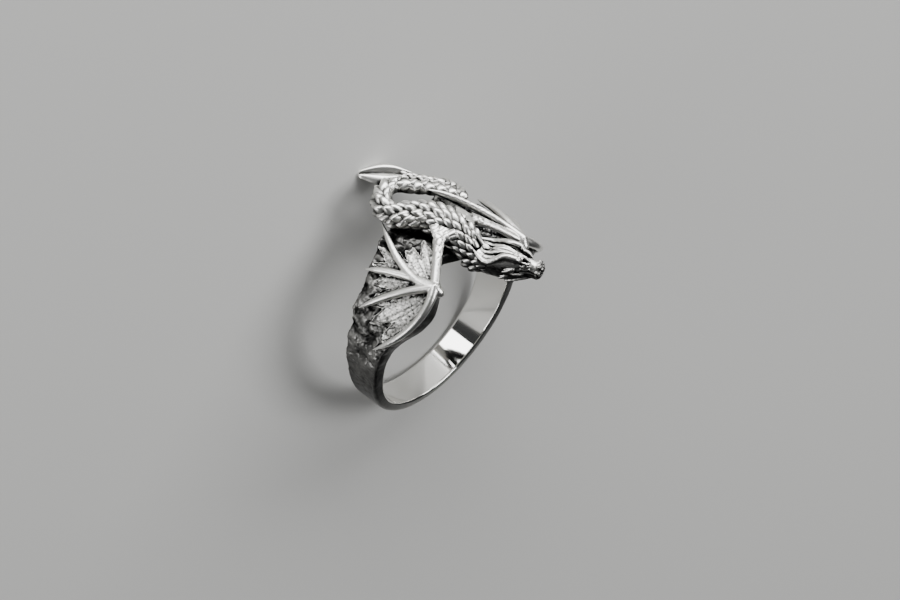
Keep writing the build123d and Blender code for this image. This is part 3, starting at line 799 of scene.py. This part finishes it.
def makeHead():
    look = headLook
    parts = [makeSkull()]
    for side in (1, -1):
        horn = [headPoint(along, side * out, up) for along, out, up, _ in hornRow]
        parts.append(roundBar(horn, [look["hornWidth"] * row[3] for row in hornRow], steps=50))
        brow = [headPoint(along, side * out * look["browIn"], up - look["browBelow"])
                for along, out, up, _ in hornRow[1:6]]
        parts.append(roundBar(brow, (0.5, 0.62, 0.62, 0.5, 0.3)))
        for ridge, widths in headRidges:
            line = [headPoint(along, side * out, up) for along, out, up in ridge]
            parts.append(roundBar(line, widths, sides=12, steps=20))
        (along, out, up), radius = eyeball
        parts.append(ball(headPoint(along, side * out, up), radius))
    parts.append(roundBar([headPoint(*row[:3]) for row in crownRow], [row[3] for row in crownRow]))
    piece = castTogether("head", parts, look["voxel"], 3)
    here = pointsOf(piece) - nape
    along, left, up = here @ headAhead, here @ headLeft, here[:, 2]
    mouth = np.interp(along, *zip(*mouthRow))
    mouthy, lippy, snout = [np.clip((along - look[start]) / look["fade"], 0, 1)
                            for start in ("mouthFrom", "lipFrom", "snoutFrom")]
    amount = -look["mouthDeep"] * bell(up, mouth, look["mouthWide"]) * mouthy
    amount *= np.clip(np.abs(left) / look["mouthMiddle"], 0, 1)
    amount += look["lip"] * bell(up, mouth + look["lipUp"], look["lipWide"]) * lippy
    knobs = cracks(here, look["knobMm"])
    amount += look["knob"] * snout * (knobs - look["knobLevel"])
    amount += look["speck"] * grain(here, look["speckMm"], 3)
    pushOut(piece, amount)
    noteValues(piece.data, "smoke", snout * (look["knobSmoke"] - knobs**2))
    return piece


head = makeHead()
print("dragon ring: head")

# Leaf at the tail's end: two long rounded ribs with a groove between them, over a flat flank
leafLook = {"long": 5.0, "wide": 2.7, "thick": 1.5, "swing": 48.0}
leafRows = [  # along, wide, thick
    (-0.10, 0.25, 0.45), (0.06, 0.55, 0.70), (0.26, 0.90, 0.95), (0.46, 1.00, 1.00), (0.66, 0.82, 0.90),
    (0.84, 0.52, 0.65), (0.96, 0.30, 0.42), (1.00, 0.12, 0.20),
]
leafEdge = [  # once round its section: across, up
    (-0.50, -0.16), (-0.40, 0.12), (-0.20, 0.30), (-0.06, 0.22), (0.0, 0.10), (0.06, 0.20), (0.20, 0.46),
    (0.36, 0.44), (0.50, 0.08), (0.34, -0.26), (0.05, -0.50), (-0.28, -0.34),
]


def makeLeaf():
    look = leafLook
    turn = math.radians(look["swing"])
    ahead = np.array([-math.cos(turn), -math.sin(turn), 0.0])
    across = np.array([-math.sin(turn), math.cos(turn), 0.0])
    rows = smoothRows([(row[0] * look["long"], 0, 0, *row[1:]) for row in leafRows], 70)
    edge = smoothRows([(*p, 0.0) for p in leafEdge + leafEdge[:1]], 49)[:-1]
    points = []
    for along, _, _, wide, thick in rows:
        for y, z, _ in edge:
            lift = np.array([0.0, 0.0, z * thick * look["thick"]])
            points.append(bodyLine[0, :3] + along * ahead + y * wide * look["wide"] * across + lift)
    ends = [np.mean(points[:len(edge)], axis=0), np.mean(points[-len(edge):], axis=0)]
    return addPiece("leaf", *closeRings(points, len(edge), ends))


leaf = makeLeaf()
print("dragon ring: leaf")

# Blackening: rays from each point find how deep it lies between its neighbours, and the oxide is left black
# there.
# Some pieces are black all over. On others, painted shade darkens the faces turned sideways or down from the
# crown, most on the head and the neck's scales. It also stands in part for patina that no wheel reaches from
# above.
pieces = [shank, bodyCore, bodyScales, bodyCrest, head, leaf, *wingBones, *wingWebs]
oxideAndShadeLook = {
    "reach": 2.0, "rays": 12, "rayStart": 0.02, "low": 0.09, "high": 0.37, "blackest": 0.97,
    "all": {"bodyCore": 0.96}, "under": {"head": 1.6, "bodyScales": 1.0, "bodyCrest": 0.6}, "underFrom": 0.58,
    "neck": 0.8, "neckFrom": -1.5, "neckOver": 2.0,  # the neck's scales are darker still
}


def raysOut(count):
    # directions spread over the half of the sky above a face, closer together where it looks straight out
    goldenAngle = 2.39996  # in radians: no two rays turn the same way
    turns = np.arange(count) * goldenAngle
    lean = np.sqrt((np.arange(count) + 0.5) / count)
    return np.stack([lean * np.cos(turns), lean * np.sin(turns), np.sqrt(1 - lean**2)], axis=1)


def hiddenShare(tree, points, normals, rays):
    # 0 in the open, towards 1 deep in a recess
    reach = oxideAndShadeLook["reach"]
    aside = unit(np.cross(normals, np.where(np.abs(normals[:, :1]) < 0.8, (1.0, 0, 0), (0, 1.0, 0))))
    beyond = np.cross(normals, aside)
    starts = (points + normals * oxideAndShadeLook["rayStart"]).tolist()
    hidden = np.zeros(len(points))
    for a, b, c in rays:
        ways = (a * aside + b * beyond + c * normals).tolist()
        for i, (start, way) in enumerate(zip(starts, ways)):
            distance = tree.ray_cast(start, way, reach)[3]
            if distance is not None:
                hidden[i] += 1 - distance / reach
    return hidden / len(rays)


def blacken():
    look = oxideAndShadeLook
    meshes = [(pointsOf(piece).tolist(), [tuple(f.vertices) for f in piece.data.polygons])
              for piece in pieces]
    tree = BVHTree.FromPolygons(*joined(meshes))
    rays = raysOut(look["rays"])
    for piece in pieces:
        points, normals = pointsOf(piece), normalsOf(piece)
        hidden = hiddenShare(tree, points, normals, rays)
        hidden = np.clip((hidden - look["low"]) / (look["high"] - look["low"]), 0, 1)
        recess = hidden * hidden * (3 - 2 * hidden)
        smoke = np.zeros(len(points))
        if "smoke" in piece.data.attributes:
            piece.data.attributes["smoke"].data.foreach_get("value", smoke)
        facing = np.sum(normals * outwards(points), axis=1)
        # painted shade: faces turned away from the crown are darkened for the shade that falls below them,
        # and in part for patina the wheel misses
        under = look["under"].get(piece.name, 0.0) * np.clip(look["underFrom"] - facing, 0, 2)
        if piece is bodyScales:
            under *= 1 + look["neck"] * np.clip((points[:, 0] - look["neckFrom"]) / look["neckOver"], 0, 1)
        smoke = np.clip(smoke + look["all"].get(piece.name, 0.0) + under, 0, look["blackest"])
        noteValues(piece.data, "oxideAndShade", np.clip(recess + smoke * (1 - recess), 0, 1))


blacken()
print("dragon ring: blackened")

for piece in pieces:
    piece.data.transform(ringMatrix)
    if not piece.data.materials:
        piece.data.materials.append(silver)
    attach(piece, "root")
    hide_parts("dragon_ring")
print("dragon ring: placed")

# Studio: pale floor, soft lights, the camera where the photograph was taken from
studioLook = {
    "floor": "#cbcbc9", "floorRough": 0.7, "floorHalf": 1.5, "sky": "#e8ebee", "skyStrength": 0.05,
    "lampsAimAt": (0, 0, 0.008),
}
lampRows = [  # name, place, width and height in m, watts
    ("crownSide", (-0.20, -0.44, 0.14), (0.60, 0.27), 3.8),
    ("overhead", (-0.26, -0.12, 0.48), (0.26, 0.26), 1.7),
    ("besideBand", (0.15, -0.37, 0.07), (0.28, 0.13), 0.8),
    ("besideShank", (0.42, -0.04, 0.07), (0.34, 0.13), 0.7),
]


def makeFloor():
    # painted board, matt, so that the ring's shadow on it is soft
    half = studioLook["floorHalf"]
    corners = [(-half, -half, 0), (half, -half, 0), (half, half, 0), (-half, half, 0)]
    board = addPiece("floor", corners, [(0, 1, 2, 3)])
    paint, _, shader = newMaterial("paleFloor")
    shader.inputs["Base Color"].default_value = linear(studioLook["floor"])
    shader.inputs["Roughness"].default_value = studioLook["floorRough"]
    board.data.materials.append(paint)
    return board


def softLight(name, place, size, power):
    light = bpy.data.lights.new(name, "AREA")
    light.shape, light.size, light.size_y, light.energy = "RECTANGLE", size[0], size[1], power
    lamp = bpy.data.objects.new(name, light)
    bpy.context.collection.objects.link(lamp)
    lamp.location = place
    towards = Vector(studioLook["lampsAimAt"]) - Vector(place)
    lamp.rotation_euler = towards.to_track_quat("-Z", "Y").to_euler()


floor = makeFloor()
for row in lampRows:
    softLight(*row)
world = bpy.data.worlds.new("studio")
bpy.context.scene.world = world
world.use_nodes = True
world.node_tree.nodes["Background"].inputs["Color"].default_value = linear(studioLook["sky"])
world.node_tree.nodes["Background"].inputs["Strength"].default_value = studioLook["skyStrength"]

# The photograph's view, in the ring's own directions. It looks at a place in mm, and the picture is shifted
# from there.
viewLook = {
    "from": (0.368, -0.598, 0.712), "up": (-0.560, 0.470, 0.683), "looksAt": (1.7, 0, 0),
    "shiftMm": (0.272, 2.558), "distance": 1.0, "frameWide": 0.0906, "sensorMm": 36.0,
}


def makeCamera():
    look, ring = viewLook, turned.to_3x3()
    towards = ring @ Vector(look["from"]).normalized()
    right = (ring @ Vector(look["up"])).cross(towards).normalized()
    up = towards.cross(right)
    shift = look["shiftMm"][0] * right + look["shiftMm"][1] * up
    aim = ringMatrix @ Vector(look["looksAt"]) + 0.001 * shift
    camera = bpy.data.objects.new("camera", bpy.data.cameras.new("camera"))
    bpy.context.collection.objects.link(camera)
    camera.data.sensor_width = look["sensorMm"]
    camera.data.lens = look["sensorMm"] * look["distance"] / look["frameWide"]
    camera.data.clip_start = 0.01
    turn = Matrix((right, up, towards)).transposed().to_4x4()
    camera.matrix_world = Matrix.Translation(aim + towards * look["distance"]) @ turn
    return camera


bpy.context.scene.camera = makeCamera()
print("dragon ring: studio")
